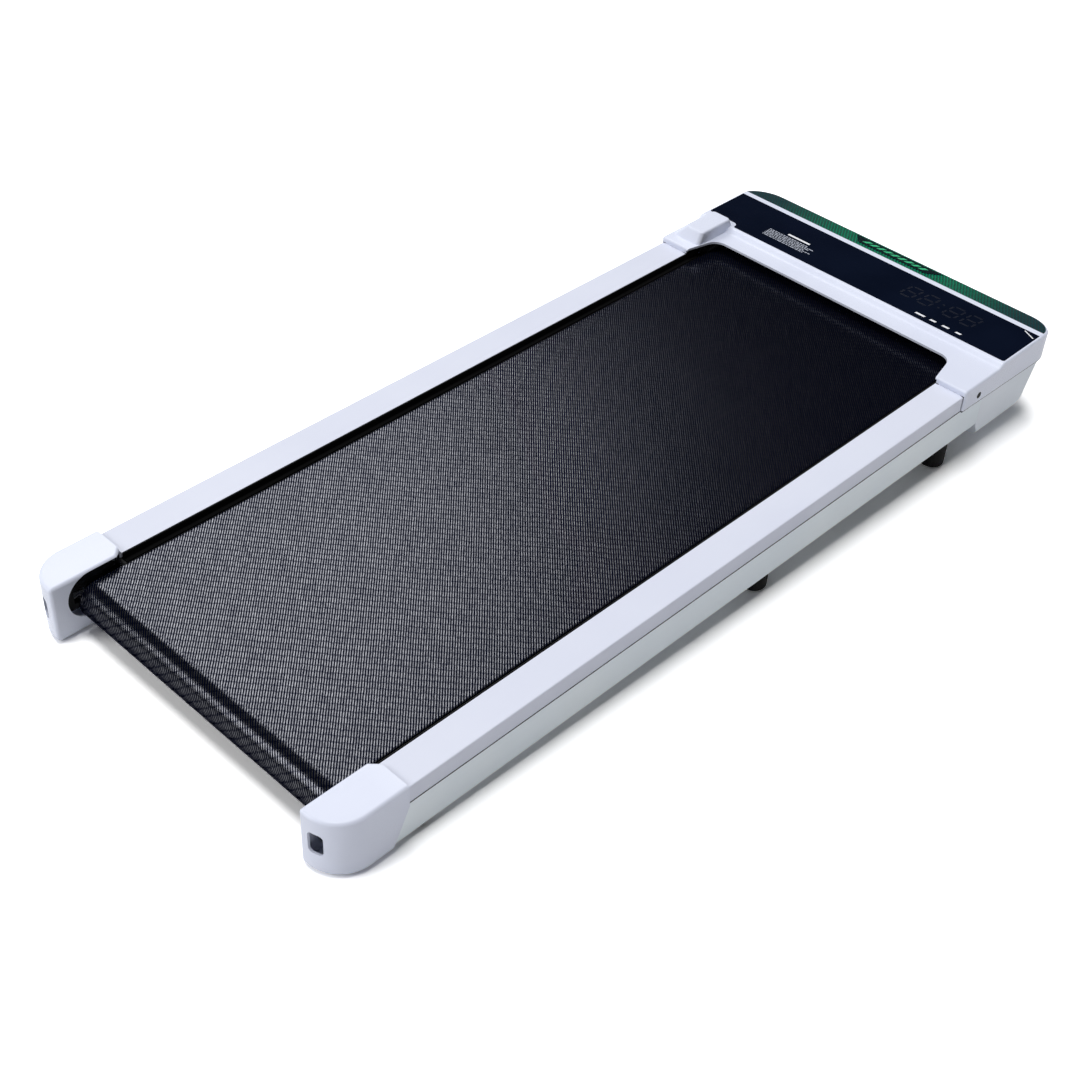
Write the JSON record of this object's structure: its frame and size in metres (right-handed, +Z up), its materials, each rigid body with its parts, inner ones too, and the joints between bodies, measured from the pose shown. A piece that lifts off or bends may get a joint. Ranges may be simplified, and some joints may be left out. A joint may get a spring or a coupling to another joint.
{
  "type": "walking pad",
  "caption": "Low walking treadmill: woven belt between pale side rails, rounded rear caps, and a front hood with a dark display panel and a green nose strip.",
  "frame": {"origin": "middle of the footprint on the floor that the feet stand on", "axes": "+Y towards the hood at the front, the way the walker faces; +X to the walker's right; +Z up"},
  "size_m": [0.4858, 1.2053, 0.1294],
  "materials": {
    "white_plastic": "satin moulded",
    "white_steel": "satin powder coat",
    "beam_paint": "satin powder coat",
    "black_steel": "matte powder coat",
    "belt_fabric": "woven, matte",
    "deck_board": "black laminate",
    "black_rubber": "matte",
    "black_plastic": "fine texture",
    "bright_steel": "turned",
    "motor_casing": "satin",
    "alloy": "extruded",
    "panel_gloss": "high gloss",
    "nose_film": "printed film under gloss",
    "badge_gloss": "gloss",
    "board_green": "solder resist",
    "component_dark": "sleeved",
    "switch_red": "gloss"
  },
  "bodies": {
    "chassis": {"accent_strip": "white_plastic", "breaker_body": "black_plastic", "control_board": "board_green", "control_components": "component_dark", "control_heatsink": "alloy", "cover_screws": "bright_steel", "crossmember_1": "black_steel", "crossmember_2": "black_steel", "crossmember_3": "black_steel", "crossmember_4": "black_steel", "deck_cushions": "black_rubber", "deck_screws": "bright_steel", "display_module": "black_plastic", "display_panel": "panel_gloss", "drive_belt": "black_rubber", "edge_guard_left": "black_plastic", "edge_guard_right": "black_plastic", "frame_beam_left": "beam_paint", "frame_beam_right": "beam_paint", "front_feet": "black_rubber", "front_plate_left": "black_steel", "front_plate_right": "black_steel", "front_roller_shaft": "bright_steel", "hood_belly_pan": "white_plastic", "hood_block": "white_plastic", "hood_brackets": "black_steel", "hood_top_cover": "white_plastic", "middle_feet": "black_rubber", "motor_body": "motor_casing", "motor_cradle": "black_steel", "motor_tray": "black_steel", "nose_badge": "badge_gloss", "nose_strip": "nose_film", "power_inlet": "black_plastic", "rear_cap_left": "white_plastic", "rear_cap_right": "white_plastic", "rear_feet": "black_rubber", "rear_roller_shaft": "bright_steel", "rocker_switch_housing": "black_plastic", "running_belt": "belt_fabric", "running_deck": "deck_board", "side_rail_left": "white_steel", "side_rail_right": "white_steel", "tension_bracket_left": "black_steel", "tension_bracket_right": "black_steel", "transport_wheel_axles": "bright_steel"},
    "front_roller": {"front_roller_tube": "bright_steel", "front_roller_bearings": "bright_steel", "front_roller_pulley": "alloy"},
    "rear_roller": {"rear_roller_tube": "bright_steel", "rear_roller_bearings": "bright_steel"},
    "motor_rotor": {"motor_shaft": "bright_steel", "motor_pulley": "alloy", "motor_fan": "black_plastic"},
    "rocker": {"rocker_switch_button": "switch_red"},
    "breaker_press": {"breaker_button": "black_plastic"},
    "wheel_left": {"transport_wheel_left": "black_plastic"},
    "wheel_right": {"transport_wheel_right": "black_plastic"},
    "bolt_left": {"tension_bolt_left": "bright_steel"},
    "bolt_right": {"tension_bolt_right": "bright_steel"}
  },
  "joints": [
    {"name": "front_roller_spin", "type": "hinge", "parent": "chassis", "child": "front_roller", "pos_m": [0, 0.44581, 0.07474], "axis": [1, 0, 0], "continuous": true},
    {"name": "rear_roller_spin", "type": "hinge", "parent": "chassis", "child": "rear_roller", "pos_m": [0, -0.54959, 0.03998], "axis": [1, 0, 0], "continuous": true},
    {"name": "motor_spin", "type": "hinge", "parent": "chassis", "child": "motor_rotor", "pos_m": [0, 0.53007, 0.06858], "axis": [1, 0, 0], "continuous": true},
    {"name": "rocker_switch_tilt", "type": "hinge", "parent": "chassis", "child": "rocker", "pos_m": [0.108, 0.59545, 0.05885], "axis": [1, 0, 0], "range_deg": [-16, 0]},
    {"name": "breaker_press_in", "type": "slide", "parent": "chassis", "child": "breaker_press", "axis": [0, -0.9994, -0.0349], "range_m": [0, 0.002], "stiffness_N_per_m": 300},
    {"name": "wheel_left_spin", "type": "hinge", "parent": "chassis", "child": "wheel_left", "pos_m": [-0.182, 0.56606, 0.02381], "axis": [1, 0, 0], "continuous": true},
    {"name": "wheel_right_spin", "type": "hinge", "parent": "chassis", "child": "wheel_right", "pos_m": [0.182, 0.56606, 0.02381], "axis": [1, 0, 0], "continuous": true},
    {"name": "bolt_left_turn", "type": "hinge", "parent": "chassis", "child": "bolt_left", "pos_m": [-0.21, -0.54959, 0.03998], "axis": [0, 0.9994, 0.0349], "range_deg": [-360, 360]},
    {"name": "bolt_right_turn", "type": "hinge", "parent": "chassis", "child": "bolt_right", "pos_m": [0.21, -0.54959, 0.03998], "axis": [0, 0.9994, 0.0349], "range_deg": [-360, 360]}
  ],
  "couplings": [
    {"joint": "rear_roller_spin", "follows": "front_roller_spin", "ratio": 1},
    {"joint": "motor_spin", "follows": "front_roller_spin", "ratio": 2.4167}
  ]
}
